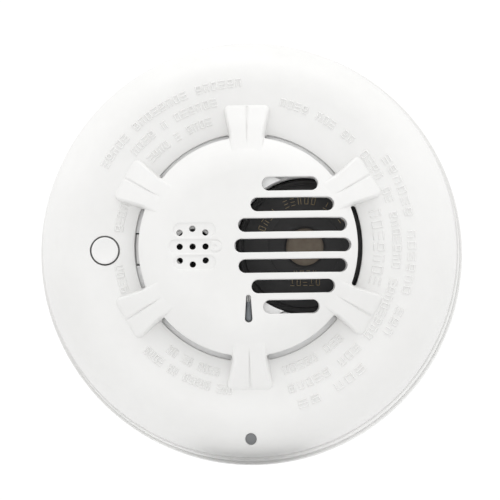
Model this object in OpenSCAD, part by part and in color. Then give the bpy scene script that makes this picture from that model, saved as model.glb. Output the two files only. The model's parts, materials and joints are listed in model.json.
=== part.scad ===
// Wall-mounted carbon monoxide detector: a ring base on the wall and a twist-off head.
// Each module is modelled lying on its back (x right, y up, z toward the room) and is
// stood upright against the wall plane by upright().

/* [Cover] */
// Outer radius of the front cover
cover_r = 69.6; // [69.2:0.1:69.8]
// Height of the crest of the outer ring above the wall
crest_z = 45.5; // [45:0.1:46.5]
// Height of the flat centre of the dome above the wall
dome_z = 53; // [52.5:0.1:54.5]
// Radius of the flat centre of the dome
dome_flat_r = 25.3; // [24:0.1:27]
// Radius of the lip of the dome
dome_lip_r = 36.9; // [36.5:0.1:37.3]
// Fall from the flat of the dome to its lip
dome_fall = 4.3; // [3.6:0.1:5]
// Inner radius of the outer ring, across the sound gap from the dome
ring_in_r = 38.3; // [38.1:0.1:38.8]
// Wall thickness of the cover
cover_t = 2.2; // [1.8:0.1:2.4]
// Radius of the rounded shoulder of the outer ring
shoulder_r = 14; // [13:0.5:14.5]

/* [Slots] */
// Height of each sound slot
slot_h = 4.6; // [4:0.05:5.2]
// Distance between neighbouring sound slots
slot_pitch = 6.9; // [6.5:0.1:7]
// Distance from the centre line to the middle of the sound slots
slot_cx = 15.1; // [14.6:0.1:15.4]
// Diameter of each hole in the gas inlet grille
inlet_d = 2.1; // [1.6:0.1:2.4]

/* [Lugs] */
// Width of a bridging lug at the dome
lug_w_in = 10.1; // [9:0.1:11]
// Width of a bridging lug at its outer end
lug_w_out = 15.3; // [14:0.1:16]
// Radius at the outer end of the lugs
lug_out_r = 47.9; // [47:0.1:48.5]

/* [Button and light] */
// Distance from the centre to the test button
button_x = 48.3; // [48:0.1:48.8]
// Diameter of the test button
button_d = 9; // [8.6:0.1:9]
// Diameter of the hole around the test button
button_hole_d = 10; // [9.9:0.1:10.3]
// Distance from the centre to the status light
light_y = 64.4; // [64:0.1:64.6]
// Diameter of the hole for the status light
light_d = 3.8; // [3.4:0.1:4]

/* [Mounting base] */
// Outer radius of the mounting base
base_r = 71; // [70.8:0.1:72]
// Radius of the open centre of the mounting base
base_open_r = 37.5; // [37.2:0.1:38]
// Distance between the two wall screws
screw_spacing = 88.9; // [84:0.1:92]
// Width of a wall screw slot
screw_slot_w = 4.5; // [4:0.1:5]
// Length of a wall screw slot, end to end
screw_slot_l = 9; // [7:0.5:12]

/* [Battery] */
// Diameter of the battery
battery_d = 17; // [16.6:0.1:17]
// Length of the battery
battery_l = 34.5; // [33.5:0.1:34.5]
// Distance from the centre line to the battery
battery_x = 10; // [9.8:0.1:10.2]

/* [Hidden] */
$fn = 96;
e = 0.02;

// heights above the wall
base_t = 2.5;
base_rim_z = 8.2;
floor_z = 8.6;
floor_t = 2;
floor_top = floor_z + floor_t;
seam_z = 22;
cover_bot = seam_z + 0.2;
board_z = 20;
board_t = 1.6;
board_top = board_z + board_t;
shroud_z = 39.6;
shroud_t = 1.6;
hood_r = 34.5;
hood_top = 46;
probe_z = 50.4;
shroud_top = shroud_z + shroud_t;
horn_z0 = 28.3;
horn_z1 = 40;

// radii and places
house_r = 70.2;
house_wall = 2.2;
board_r = 55;
shroud_r = 55;
post_r = 59.5;
post_angles = [90, 210, 330];
board_angles = [45, 135, 225, 315];
board_pcd_r = 50;
peg_angles = [20, 110, 200, 290];
hook_angles = [60, 180, 300];
horn_c = [18.8, 0.2];
horn_r = 23;
cell_c = [-18.3, -0.5];
cell_r = 7;
shoulder_c = [cover_r - shoulder_r, crest_z - shoulder_r];
dish_drop = 1.5;
rim_z = ring_h(ring_in_r) - 1.4;
step_z = dome_z - cover_t - 0.5;

// battery well in the rear housing
well_in = [21, 44];
well_wall = 2.5;
well_top = 27;
batt_z = 19.2;
door = [23.3, 45.7];
door_gap = 0.35;
door_t = 1.6;
hinge_y = 26.8;
hinge_z = 9.4;
hinge_pin_r = 1;
pin_clear = 0.05;

// test lever
pivot_x = -30;
pivot_z = shroud_z + shroud_t / 2;
trunnion_r = 1.2;
lever_w = 10.2;
button_y = -0.5;
rim_half = 20.5;

function dome_h(r) = r <= dome_flat_r ? dome_z
    : dome_z - dome_fall * pow((r - dome_flat_r) / (dome_lip_r - dome_flat_r), 2);
function ring_h(r) = crest_z - dish_drop * pow(max(0, (shoulder_c[0] - r) / (shoulder_c[0] - ring_in_r)), 1.3);
function polar(r, a) = [r * cos(a), r * sin(a)];

module upright() { rotate([90, 0, 0]) children(); }

// a tube from z0 to z1
module tube(r0, r1, z0, z1) {
    translate([0, 0, z0]) difference() {
        cylinder(r = r1, h = z1 - z0);
        translate([0, 0, -1]) cylinder(r = r0, h = z1 - z0 + 2);
    }
}

// part of a tube, from angle a0 to a1
module sector(r0, r1, z0, z1, a0, a1) {
    rotate([0, 0, a0]) rotate_extrude(angle = a1 - a0)
        translate([r0, z0]) square([r1 - r0, z1 - z0]);
}

module box(x0, x1, y0, y1, z0, z1) {
    translate([x0, y0, z0]) cube([x1 - x0, y1 - y0, z1 - z0]);
}

// a flat pill outline, full length l and height h, centred
module pill(l, h) {
    square([l - h, h], center = true);
    for (s = [-1, 1]) translate([s * (l - h) / 2, 0]) circle(d = h);
}

// ------------------------------------------------------------ mounting base
module base_slots() {
    for (s = [-1, 1]) translate([s * screw_spacing / 2, 0, -1])
        linear_extrude(base_t + 2) pill(screw_slot_l, screw_slot_w);
}

module mounting_base() {
    color("ivory") difference() {
        union() {
            tube(base_open_r, base_r, 0, base_t);
            tube(base_r - 1.8, base_r, base_t - 0.5, base_rim_z);
            tube(base_open_r, base_open_r + 1.4, base_t - 0.5, base_t + 1.4);
            for (a = hook_angles) {
                sector(57.8, 59.8, base_t - 0.5, 7.4, a - 8, a + 8);
                sector(59.5, 63.2, 5.6, 7.4, a - 8, a + 8);
                sector(60.6, 63.2, base_t - 0.5, 5.2, a - 12.3, a - 10.35);
            }
            for (a = [0:30:330]) if (a != 0 && a != 180)
                rotate([0, 0, a]) box(base_open_r + 1, 56, -0.6, 0.6, base_t - 0.5, base_t + 1);
        }
        base_slots();
        // access notches in the plate behind the hooks
        for (a = hook_angles) sector(60.6, 63.4, -1, base_t + 1, a - 8, a + 8);
    }
}

// ------------------------------------------------------------ rear housing
module well_walls() {
    translate([battery_x, 0, 0]) difference() {
        box(-well_in[0] / 2 - well_wall, well_in[0] / 2 + well_wall,
            -well_in[1] / 2 - well_wall - 0.2, well_in[1] / 2 + well_wall + 0.2, floor_top - 0.5, well_top);
        box(-well_in[0] / 2, well_in[0] / 2, -well_in[1] / 2, well_in[1] / 2, floor_z, well_top + 1);
    }
}

module rear_housing() {
    color("whitesmoke") difference() {
        union() {
            // floor, side wall and the tongue that the cover slips over, with a gap for the tab of the circuit board
            translate([0, 0, floor_z]) cylinder(r = house_r, h = floor_t);
            tube(house_r - house_wall, house_r, floor_z + 0.5, seam_z);
            rotate([0, 0, 278]) rotate_extrude(angle = 344) polygon([[65.6, 18.4], [68.6, 18.4], [68.6, 20.4],
                [67.2, 20.4], [67.2, 24], [65.6, 24]]);
            for (a = board_angles) translate(concat(polar(board_pcd_r, a), [floor_top - 0.5]))
                cylinder(r = 3.5, h = board_z - floor_top + 0.5);
            well_walls();
            // bayonet tabs
            for (a = hook_angles) {
                sector(64, 66, 3.4, floor_z + 0.5, a - 10, a + 6);
                sector(60.6, 64.5, 3.4, 5.2, a - 10, a + 6);
            }
            // ears for the hinge pins of the door
            for (s = [-1, 1]) translate([battery_x + s * (door[0] / 2 + 2), hinge_y, 0])
                box(-1.8, 1.8, -2.3, 2.3, hinge_z - 2, hinge_z + 2.2);
            // ribs under the floor
            for (a = [20, 110, 140, 200, 250, 340]) rotate([0, 0, a])
                box(40, 56, -0.6, 0.6, floor_z - 1.2, floor_z + 0.5);
        }
        // opening that the door closes
        translate([battery_x, 0, 0]) box(-door[0] / 2 - door_gap, door[0] / 2 + door_gap,
            -door[1] / 2 - door_gap, hinge_y + 2.1, floor_z - 2, floor_top);
        translate([battery_x, hinge_y, 0]) box(-door[0] / 2 - door_gap, door[0] / 2 + door_gap, -2, 2.1, 0, hinge_z + 3);
        // finger notch at the free end of the door
        translate([battery_x, -door[1] / 2 - door_gap, floor_z - 1]) cylinder(r = 4.5, h = 2.2);
        translate([battery_x, 0, 0]) box(-well_in[0] / 2, well_in[0] / 2, -well_in[1] / 2, well_in[1] / 2,
            floor_z, well_top + 1);
        for (s = [-1, 1]) translate([battery_x + s * (door[0] / 2 + 2) - 2.5, hinge_y, hinge_z])
            rotate([0, 90, 0]) cylinder(r = hinge_pin_r + pin_clear, h = 5);
        for (a = post_angles) translate(concat(polar(post_r, a), [floor_z - 1])) {
            cylinder(r = 1.7, h = floor_t + 2);
        }
        for (a = board_angles) translate(concat(polar(board_pcd_r, a), [floor_top + 0.6]))
            cylinder(r = 1.25, h = 20);
        // shallow seat for the label
        box(-31.3, -13.7, -15.3, 15.3, floor_z - 1, floor_z + 0.3);
    }
}

// ------------------------------------------------------------ front cover
ring_n = 10;
arc_n = 12;
module ring_profile() {
    ro = [for (i = [0:ring_n]) let (r = ring_in_r + 0.4 + (shoulder_c[0] - ring_in_r - 0.4) * i / ring_n) [r, ring_h(r)]];
    so = [for (i = [1:arc_n]) let (a = 90 - 90 * i / arc_n) shoulder_c + shoulder_r * [cos(a), sin(a)]];
    ri = shoulder_r - cover_t;
    si = [for (i = [0:arc_n]) let (a = 90 * i / arc_n) shoulder_c + ri * [cos(a), sin(a)]];
    zi = ring_h(ring_in_r) - cover_t;
    polygon(concat([[ring_in_r, ring_h(ring_in_r) - 0.5]], ro, so,
        [[cover_r, cover_bot], [cover_r - cover_t, cover_bot]], si, [[50, zi], [ring_in_r, zi]]));
}

dome_n = 9;
module dome_profile() {
    rl = dome_lip_r - 0.6;
    o = [for (i = [0:dome_n]) let (r = dome_flat_r + (rl - dome_flat_r) * i / dome_n) [r, dome_h(r)]];
    n = [for (i = [dome_n:-1:0]) let (r = dome_flat_r - 0.4 + (rl - dome_flat_r) * i / dome_n) [r, dome_h(r + 0.4) - cover_t]];
    polygon(concat([[0, dome_z]], o, [[dome_lip_r, dome_h(rl) - 0.8], [dome_lip_r, dome_h(rl) - cover_t]], n,
        [[0, dome_z - cover_t]]));
}

lug_in_r = 33;
lug_top0 = dome_h(lug_in_r) + 0.1;
lug_top1 = ring_h(lug_out_r) + 1.5;
lug_slope = atan((lug_top0 - lug_top1) / (lug_out_r - 1.5 - lug_in_r));
module lug() {
    difference() {
        intersection() {
            translate([0, 0, 40]) linear_extrude(15) union() {
                polygon([[lug_in_r - 1, -lug_w_in / 2], [lug_out_r - 2, -lug_w_out / 2], [lug_out_r - 2, lug_w_out / 2],
                         [lug_in_r - 1, lug_w_in / 2]]);
                translate([lug_out_r - 3, -lug_w_out / 2 + 2.2]) square([3, lug_w_out - 4.4]);
                for (s = [-1, 1]) translate([lug_out_r - 2.2, s * (lug_w_out / 2 - 2.2)]) circle(r = 2.2);
            }
            rotate_extrude() polygon([[35.6, ring_h(ring_in_r) - cover_t + 0.25], [35.6, dome_h(35.6) - cover_t + 0.25],
                [lug_in_r - 1, dome_h(lug_in_r - 1) - cover_t + 0.25], [lug_in_r - 1, lug_top0 - 0.6],
                [lug_in_r, lug_top0], [lug_out_r - 1.5, lug_top1], [lug_out_r + 0.2, ring_h(lug_out_r) - 0.4],
                [lug_out_r + 0.2, ring_h(ring_in_r) - cover_t + 0.25]]);
        }
        // tapered groove along the middle
        translate([lug_in_r + 1, 0, lug_top0 - tan(lug_slope)]) rotate([0, lug_slope, 0])
            translate([0, 0, -0.7]) linear_extrude(3) polygon([[0, -0.05], [14.2, -0.8], [14.2, 0.8], [0, 0.05]]);
    }
}

slot_lengths = [18.8, 28, 36.5, 39.2, 36.5, 28, 18.8];
module front_cover() {
    color("white") difference() {
        union() {
            rotate_extrude() ring_profile();
            rotate_extrude() dome_profile();
            for (a = [30:60:330]) rotate([0, 0, a]) lug();
            for (a = post_angles) translate(concat(polar(post_r, a), [floor_top]))
                cylinder(r = 3.2, h = crest_z - 2.6 - floor_top);
        }
        // sound slots
        for (i = [0:6]) translate([i == 0 || i == 6 ? slot_cx - 0.7 : slot_cx, 0.1 + (i - 3) * slot_pitch, 40])
            linear_extrude(20) pill(slot_lengths[i], slot_h);
        // gas inlet grille: three shallow pills with three holes each
        for (g = [[-17.9, 5.6, 14.5, 4.95], [-17.7, 0, 18.2, 4.9], [-17.9, -5.4, 14.5, 4.95]])
            translate([g[0], g[1], dome_z - 0.35]) linear_extrude(3) pill(g[2], g[3]);
        for (c = [-1, 0, 1], w = [-1, 0, 1]) translate([-18.55 + c * 4.34, w * (c == 0 ? 6 : 4.7), 40])
            cylinder(d = inlet_d, h = 20);
        // teardrop slot in front of the temperature probe
        translate([0, 0, 40]) linear_extrude(20) union() {
            polygon([[-0.78, -17.3], [0.78, -17.3], [1.25, -24.5], [-1.25, -24.5]]);
            translate([0, -17.3]) circle(r = 0.78);
            translate([0, -24.5]) circle(r = 1.25);
        }
        translate([-button_x, button_y, 36]) cylinder(d = button_hole_d, h = 16);
        translate([0, -light_y, 30]) cylinder(d = light_d, h = 20);
        for (a = post_angles) translate(concat(polar(post_r, a), [floor_top - 1])) cylinder(r = 1.5, h = 14);
    }
}

// ------------------------------------------------------------ inner shroud
module inner_shroud() {
    color("lightgrey") difference() {
        union() {
            translate([0, 0, shroud_z]) cylinder(r = shroud_r, h = shroud_t);
            tube(shroud_r - 1.6, shroud_r, 36, shroud_top);
            // light rim close under the sound gap, between the lugs
            for (a = [60:60:300]) rotate([0, 0, a - rim_half]) rotate_extrude(angle = 2 * rim_half)
                translate([36.1, shroud_z + 0.5]) square([ring_in_r - 36.2, rim_z - shroud_z - 0.5]);
            // raised hood close under the dome
            tube(hood_r - 1.6, hood_r, shroud_z + 0.5, hood_top);
            translate([0, 0, hood_top - shroud_t]) cylinder(r = hood_r - 0.5, h = shroud_t);
            // step close under the flat of the dome, open around the temperature probe
            difference() {
                translate([0, 0, hood_top - 0.5]) cylinder(r = 24.9, h = step_z - hood_top + 0.5);
                box(-8, 3.2, -30, -13.5, hood_top, 60);
            }
            box(-1.6, 1.6, -18.2, -13.2, hood_top - 0.5, probe_z - 0.5);
            for (a = peg_angles) translate(concat(polar(board_pcd_r, a), [board_top])) {
                cylinder(r = 3, h = shroud_z - board_top + 0.5);
                translate([0, 0, -2.4]) cylinder(r = 1.4, h = 3);
            }
            for (s = [-1, 1]) translate([pivot_x, s * 6.9, 0]) box(-2.6, 2.6, -1.35, 1.35, pivot_z - 2.2, pivot_z + 2.2);
            intersection() {
                translate(concat(horn_c, [34])) cylinder(r = horn_r + 1.6, h = hood_top - 34.5);
                cylinder(r = hood_r - 0.6, h = 60);
            }
            translate(concat(horn_c, [34])) cylinder(r = horn_r + 1.6, h = shroud_top - 34.5);
            translate(concat(cell_c, [33])) cylinder(r = cell_r + 2.6, h = hood_top - 33.5);
        }
        translate(concat(horn_c, [20])) cylinder(r = horn_r + 0.2, h = 40);
        translate(concat(cell_c, [20])) cylinder(r = cell_r + 1.3, h = 22.2);
        translate(concat(cell_c, [40])) cylinder(r = cell_r - 0.4, h = 20);
        // slot for the test lever
        box(-60, pivot_x + 2, -lever_w / 2 - 0.45, lever_w / 2 + 0.45, 30, 43.4);
        for (s = [-1, 1]) translate([pivot_x, s * 7 - 2, pivot_z]) rotate([-90, 0, 0])
            cylinder(r = trunnion_r + pin_clear, h = 4);
        translate([-6, -16, 30]) cylinder(r = 1.2, h = 20);
    }
}

// ------------------------------------------------------------ horn
module horn_housing() {
    color("dimgray") union() {
        translate(concat(horn_c, [0])) rotate_extrude() polygon([
            [0, horn_z0], [horn_r - 0.6, horn_z0], [horn_r, horn_z0 + 0.6], [horn_r, horn_z1 - 0.7], [horn_r - 0.7, horn_z1],
            [21.5, horn_z1], [21.3, horn_z1 - 0.4], [20.7, horn_z1 - 0.4], [20.5, horn_z1],
            [7.3, horn_z1], [6.3, horn_z1 - 0.8], [6.3, horn_z1 - 2], [19.6, horn_z1 - 2], [19.6, horn_z1 - 3.3],
            [18.6, horn_z1 - 3.3], [18.6, horn_z0 + 1.5], [0, horn_z0 + 1.5]]);
        for (p = [[36.8, 0.2], [29, 16], [29, -16]]) translate([p[0], p[1], board_top])
            cylinder(r = 1.6, h = horn_z0 - board_top + 0.4);
    }
}

module horn_diaphragm() {
    color("darkgoldenrod") translate(concat(horn_c, [horn_z1 - 3.25])) cylinder(r = 19.5, h = 0.3);
}

module horn_pins() {
    color("silver") for (s = [-1, 1]) translate([31, s * 6, board_z - 1]) cylinder(r = 0.5, h = horn_z0 - board_z + 1);
}

// ------------------------------------------------------------ gas cell
module co_cell_can() {
    color("dimgray") translate(concat(cell_c, [23.6])) difference() {
        cylinder(r = cell_r, h = 13.9);
        translate([0, 0, 12.4]) cylinder(r = 5, h = 3);
    }
}

module co_cell_cap() {
    color("gray") translate(concat(cell_c, [37.5])) difference() {
        union() {
            cylinder(r = cell_r - 0.1, h = 2);
            translate([0, 0, -1.4]) cylinder(r = 4.95, h = 3);
            cylinder(r = cell_r - 1, h = 2.5);
        }
        translate([0, 0, -0.4]) cylinder(r = 0.9, h = 4);
        translate([0, 0, -2]) cylinder(r = 4.2, h = 2.4);
    }
}

module co_cell_pins() {
    color("silver") translate(concat(cell_c, [board_z - 1])) for (a = [90, 210, 330])
        translate(polar(4.5, a)) cylinder(r = 0.5, h = 23.6 - board_z + 1);
}

module cell_gasket() {
    color("darkgray") translate(concat(cell_c, [0])) tube(cell_r + 0.05, cell_r + 1.25, 34, 42);
}

// ------------------------------------------------------------ circuit board
module circuit_board() {
    color("green") difference() {
        union() {
            translate([0, 0, board_z]) cylinder(r = board_r, h = board_t);
            box(-4.5, 4.5, -66.6, -45, board_z, board_top);
        }
        translate([battery_x, 0, 0]) box(-well_in[0] / 2 - well_wall - 0.4, well_in[0] / 2 + well_wall + 0.4,
            -well_in[1] / 2 - well_wall - 0.6, well_in[1] / 2 + well_wall + 0.6, board_z - 1, board_top + 1);
        for (a = board_angles) translate(concat(polar(board_pcd_r, a), [board_z - 1])) cylinder(r = 1.3, h = 4);
        for (a = peg_angles) translate(concat(polar(board_pcd_r, a), [board_z - 1])) cylinder(r = 1.45, h = 4);
        for (s = [-1, 1]) translate([31, s * 6, board_z - 1]) cylinder(r = 0.55, h = 4);
        translate(concat(cell_c, [board_z - 1])) for (a = [90, 210, 330]) translate(polar(4.5, a)) cylinder(r = 0.55, h = 4);
        for (s = [-1, 1]) translate([-6, -16 + s * 0.45, board_z - 1]) cylinder(r = 0.32, h = 4);
    }
}

module status_led() {
    color("palegreen") translate([0, -light_y, board_top]) union() {
        cylinder(r = 1.9, h = 0.8);
        cylinder(r = 1.5, h = 1.8);
        translate([0, 0, 1.8]) sphere(r = 1.5);
    }
}

module light_pipe() {
    color("slategray") intersection() {
        translate([0, -light_y, 25.4]) union() {
            cylinder(d = light_d - 0.1, h = 20);
            cylinder(r = 2.8, h = 1.2);
        }
        rotate_extrude() polygon(concat([[50, 20], [50, shoulder_c[1] + shoulder_r]],
            [for (i = [0:arc_n]) let (a = 90 - 90 * i / arc_n) shoulder_c + (shoulder_r - 0.25) * [cos(a), sin(a)]],
            [[cover_r - 0.25, 20]]));
    }
}

// ------------------------------------------------------------ test button
module test_button() {
    color("white") difference() {
        union() {
            box(-54, pivot_x + 1.4, -lever_w / 2, lever_w / 2, shroud_z, shroud_top);
            translate([pivot_x, -7.9, pivot_z]) rotate([-90, 0, 0]) cylinder(r = trunnion_r, h = 15.8);
            for (s = [-1, 1]) box(-53, pivot_x - 1, s * 3.6 - 0.6, s * 3.6 + 0.6, shroud_z - 1.6, shroud_z + 0.5);
            intersection() {
                box(-40, -30, -lever_w / 2, lever_w / 2, shroud_top - 0.3, rim_z);
                tube(36.2, ring_in_r - 0.4, shroud_top - 0.5, rim_z + 1);
            }
            translate([-button_x, button_y, shroud_z]) cylinder(d = button_d, h = ring_h(button_x) + 0.4 - shroud_z);
            translate([-button_x, 0, 27.9]) cylinder(r = 1.8, h = shroud_z - 27.5);
        }
        translate([-button_x, button_y, ring_h(button_x) + 0.4 + 24.6]) sphere(r = 25);
    }
}

module test_switch() {
    color("dimgray") translate([-button_x, 0, board_top]) {
        box(-3, 3, -3, 3, 0, 3.5);
        cylinder(r = 1.7, h = 5.4);
    }
}

// ------------------------------------------------------------ small parts on the board
module thermistor() {
    color("darkslategray") union() {
        // tapered bead lying along the teardrop slot
        translate([0, -18.6, probe_z]) rotate([90, 0, 0]) cylinder(r1 = 0.75, r2 = 1.15, h = 5.6);
        translate([0, -24.2, probe_z]) sphere(r = 1.15);
        for (s = [-1, 1]) {
            y = -16 + s * 0.45;
            translate([s * 0.38, -19.2, probe_z]) rotate([-90, 0, 0]) cylinder(r = 0.25, h = y + 19.2);
            translate([s * 0.38, y, probe_z]) sphere(r = 0.25);
            translate([-6, y, probe_z]) rotate([0, 90, 0]) cylinder(r = 0.25, h = 6 + s * 0.38);
            translate([-6, y, probe_z]) sphere(r = 0.25);
            translate([-6, y, board_z - 0.6]) cylinder(r = 0.25, h = probe_z - board_z + 0.6);
        }
    }
}

module microcontroller() {
    color("black") translate([-27, 27, board_top]) union() {
        box(-5, 5, -5, 5, 0.15, 1.6);
        for (k = [-4:1:4], q = [0, 90]) rotate([0, 0, q]) box(k - 0.2, k + 0.2, -6, 6, 0, 0.5);
    }
}

module amplifier_chip() {
    color("black") translate([-27, -22, board_top]) union() {
        box(-2.5, 2.5, -2, 2, 0.15, 1.5);
        for (k = [-1.9:1.27:1.92]) box(k - 0.2, k + 0.2, -3, 3, 0, 0.5);
    }
}

module chip_components() {
    color("tan") {
        for (i = [0:5]) translate([-38 + i * 3.4, -12, board_top]) box(-1, 1, -0.6, 0.6, 0, 0.7);
        for (i = [0:3]) translate([-38 + i * 3.4, 15, board_top]) box(-1, 1, -0.6, 0.6, 0, 0.7);
        for (i = [0:4]) translate([-12 + i * 5, -36, board_top]) box(-1.6, 1.6, -0.8, 0.8, 0, 0.9);
        for (i = [0:2]) translate([-1 + i * 6, -57, board_top]) if (i == 0) box(-2.4, 0.4, -0.8, 0.8, 0, 0.9);
    }
}

module capacitors() {
    color("midnightblue") for (p = [[-5, 38, 4, 10], [9, 39, 4, 10], [22, 34, 3.2, 8]])
        translate([p[0], p[1], board_top]) cylinder(r = p[2], h = p[3]);
}

module horn_inductor() {
    color("darkorange") translate([24, -34, board_top]) union() {
        cylinder(r = 5, h = 1.2);
        cylinder(r = 3.6, h = 8);
        translate([0, 0, 6.8]) cylinder(r = 5, h = 1.4);
    }
}

module header_pins() {
    color("gold") translate([-22, -42, board_top]) {
        box(-6.35, 6.35, -1.27, 1.27, 0, 2.5);
        for (k = [-2:2]) box(k * 2.54 - 0.32, k * 2.54 + 0.32, -0.32, 0.32, 1, 8);
    }
}

// ------------------------------------------------------------ battery
module battery() {
    color("silver") translate([battery_x, -battery_l / 2, batt_z]) rotate([-90, 0, 0]) union() {
        cylinder(d = battery_d, h = battery_l - 1);
        cylinder(r = 3.3, h = battery_l);
    }
}

module battery_spring_contact() {
    color("silver") translate([battery_x, 0, batt_z]) union() {
        box(-6, 6, -21.95, -21.35, -7, 7);
        rotate([90, 0, 0]) rotate_extrude() polygon([[2, 17.3], [3, 17.3], [3.4, 17.8], [3, 18.3], [3.9, 18.9], [3.4, 19.5],
            [4.4, 20.1], [3.9, 20.7], [4.6, 21.5], [2, 21.5]]);
    }
}

module battery_plate_contact() {
    color("silver") translate([battery_x, 0, batt_z]) union() {
        box(-6, 6, 21.35, 21.95, -7, 7);
        translate([0, battery_l / 2 + 0.05, 0]) rotate([-90, 0, 0]) cylinder(r = 3, h = 4.3);
    }
}

module battery_door() {
    color("white") translate([battery_x, 0, 0]) difference() {
        union() {
            box(-door[0] / 2, door[0] / 2, -door[1] / 2, door[1] / 2, floor_z, floor_z + door_t);
            // finger tab at the free end
            intersection() {
                translate([0, -door[1] / 2 - door_gap, floor_z]) cylinder(r = 4.1, h = 1);
                box(-6, 6, -30, -20, 5, 12);
            }
            // knuckle, its link to the door and the pins
            translate([-door[0] / 2, hinge_y, hinge_z]) rotate([0, 90, 0]) cylinder(r = 1.7, h = door[0]);
            box(-door[0] / 2, door[0] / 2, door[1] / 2 - 1, hinge_y, floor_z, floor_z + door_t);
            translate([-door[0] / 2 - 3.2, hinge_y, hinge_z]) rotate([0, 90, 0])
                cylinder(r = hinge_pin_r, h = door[0] + 6.4);
            // stiffening ribs
            for (x = [-6, 0, 6]) box(x - 0.5, x + 0.5, -13, 23, floor_z - 0.8, floor_z + 0.3);
        }
        // grip lines near the free end
        for (k = [0:3]) box(-5, 5, -20.6 + k * 1.6, -20 + k * 1.6 - 0.2, floor_z - 1.2, floor_z + 0.3);
    }
}

// ------------------------------------------------------------ fasteners and label
module housing_screws() {
    color("silver") for (a = post_angles) translate(concat(polar(post_r, a), [0])) difference() {
        union() {
            translate([0, 0, floor_z - 1.7]) cylinder(r = 2.7, h = 1.7);
            translate([0, 0, floor_z - 0.2]) cylinder(r = 1.45, h = 12);
        }
        translate([0, 0, floor_z - 2]) for (q = [0, 90]) rotate([0, 0, q]) box(-1.5, 1.5, -0.3, 0.3, -1, 1.4);
    }
}

module board_screws() {
    color("silver") for (a = board_angles) translate(concat(polar(board_pcd_r, a), [0])) difference() {
        union() {
            translate([0, 0, board_top]) cylinder(r = 2.4, h = 1.5);
            translate([0, 0, board_z - 7]) cylinder(r = 1.2, h = 9);
        }
        translate([0, 0, board_top + 1.5]) for (q = [0, 90]) rotate([0, 0, q]) box(-1.3, 1.3, -0.25, 0.25, -1, 1);
    }
}

module rating_label() {
    color("gainsboro") box(-31, -14, -15, 15, floor_z + 0.1, floor_z + 0.3);
}

upright() mounting_base();
upright() rear_housing();
upright() front_cover();
upright() inner_shroud();
upright() horn_housing();
upright() horn_diaphragm();
upright() horn_pins();
upright() co_cell_can();
upright() co_cell_cap();
upright() co_cell_pins();
upright() cell_gasket();
upright() circuit_board();
upright() status_led();
upright() light_pipe();
upright() test_button();
upright() test_switch();
upright() thermistor();
upright() microcontroller();
upright() amplifier_chip();
upright() chip_components();
upright() capacitors();
upright() horn_inductor();
upright() header_pins();
upright() battery();
upright() battery_spring_contact();
upright() battery_plate_contact();
upright() battery_door();
upright() housing_screws();
upright() board_screws();
upright() rating_label();
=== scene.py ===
import json
import math

import bmesh
import bpy
import numpy as np
from mathutils import Matrix, Vector
from mathutils.geometry import delaunay_2d_cdt


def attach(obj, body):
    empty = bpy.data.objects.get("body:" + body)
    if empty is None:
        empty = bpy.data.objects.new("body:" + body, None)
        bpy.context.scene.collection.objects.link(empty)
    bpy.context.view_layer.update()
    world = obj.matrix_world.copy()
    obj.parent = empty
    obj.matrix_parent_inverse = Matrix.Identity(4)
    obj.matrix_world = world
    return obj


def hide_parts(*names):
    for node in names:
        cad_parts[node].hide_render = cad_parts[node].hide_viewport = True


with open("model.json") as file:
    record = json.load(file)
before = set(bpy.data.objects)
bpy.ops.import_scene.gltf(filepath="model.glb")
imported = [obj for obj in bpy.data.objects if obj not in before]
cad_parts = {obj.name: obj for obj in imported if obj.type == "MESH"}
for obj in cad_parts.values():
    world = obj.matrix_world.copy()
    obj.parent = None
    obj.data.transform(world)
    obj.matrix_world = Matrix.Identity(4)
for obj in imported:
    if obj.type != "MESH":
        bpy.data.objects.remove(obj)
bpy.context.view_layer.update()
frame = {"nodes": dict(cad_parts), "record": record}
NODES = frame["nodes"]

# ---------------------------------------------------------------- dimensions, mm, as in the CAD model
COVER_R, CREST, SHOULDER = 69.6, 45.5, 14.0
RC, ZC = COVER_R - SHOULDER, CREST - SHOULDER
SEAM = 22.2
DOME_Z, DOME_FLAT, DOME_LIP, DOME_FALL = 53.0, 25.3, 36.9, 4.3
RING_IN, DISH = 38.3, 1.5
THICK = 2.2
S_SIDE = RC + SHOULDER * math.pi / 2
S_END = S_SIDE + ZC - SEAM
BUTTON_X, BUTTON_Y, LIGHT_Y = 48.3, -0.5, 64.4
RIM_Z = CREST - 1.5 - 1.4
LUG_R0, LUG_R1 = 33.0, 47.9
TAU = 2 * math.pi


def smooth(t):
    t = np.clip(t, 0, 1)
    return t * t * (3 - 2 * t)


def dome_h(r):
    t = np.clip((r - DOME_FLAT) / (DOME_LIP - DOME_FLAT), 0, 1.2)
    return DOME_Z - DOME_FALL * t * t


def ring_h(r):
    t = np.clip((RC - r) / (RC - RING_IN), 0, 1.2)
    return CREST - DISH * t ** 1.3


def prof(s):
    """Radius and height of the plain cover at unrolled radius s."""
    s = np.asarray(s, float)
    inner = np.where(s <= DOME_LIP, dome_h(s), np.where(s >= RING_IN, ring_h(s),
                     dome_h(DOME_LIP) + (ring_h(RING_IN) - dome_h(DOME_LIP)) * (s - DOME_LIP) / (RING_IN - DOME_LIP)))
    phi = np.clip((s - RC) / SHOULDER, 0, math.pi / 2)
    r = np.where(s <= RC, s, RC + SHOULDER * np.sin(phi))
    z = np.where(s <= RC, inner, CREST - SHOULDER * (1 - np.cos(phi)))
    z = z - np.clip(s - S_SIDE, 0, None)
    d = np.clip(S_END - s, 0, 0.2)
    r = r - (0.2 - np.sqrt(np.clip(0.04 - (0.2 - d) ** 2, 0, None)))
    return r, z


def s_of(r):
    r = np.asarray(r, float)
    return np.where(r <= RC, r, RC + SHOULDER * np.arcsin(np.clip((r - RC) / SHOULDER, 0, 1)))


# ---------------------------------------------------------------- outlines, as signed distances
def sd_pill(x, y, cx, cy, l, h):
    dx = np.abs(x - cx) - (l - h) / 2
    return np.hypot(np.clip(dx, 0, None), y - cy) - h / 2


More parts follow.
